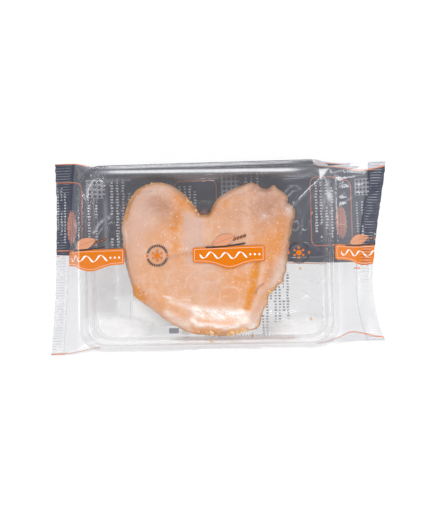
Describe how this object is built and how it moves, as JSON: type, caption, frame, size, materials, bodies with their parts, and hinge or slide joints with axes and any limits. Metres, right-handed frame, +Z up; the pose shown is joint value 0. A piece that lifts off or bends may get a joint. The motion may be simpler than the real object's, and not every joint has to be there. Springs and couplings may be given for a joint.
{
  "type": "palmier",
  "caption": "Glazed heart-shaped palmier on a shallow clear tray, sealed in a printed clear flow pack with crimped ends.",
  "frame": {"origin": "middle of the tray's foot, on the underside that the pack stands on", "axes": "+X along the pack to the end seal that stands further from the tray, +Y to the side with the dark print, +Z up through the shown face"},
  "size_m": [0.2383, 0.1368, 0.0226],
  "materials": {
    "film": "gloss",
    "tray": "gloss",
    "pastry": "satin",
    "glaze": "gloss"
  },
  "bodies": {
    "root": {"flow_pack": "film"}
  },
  "joints": []
}
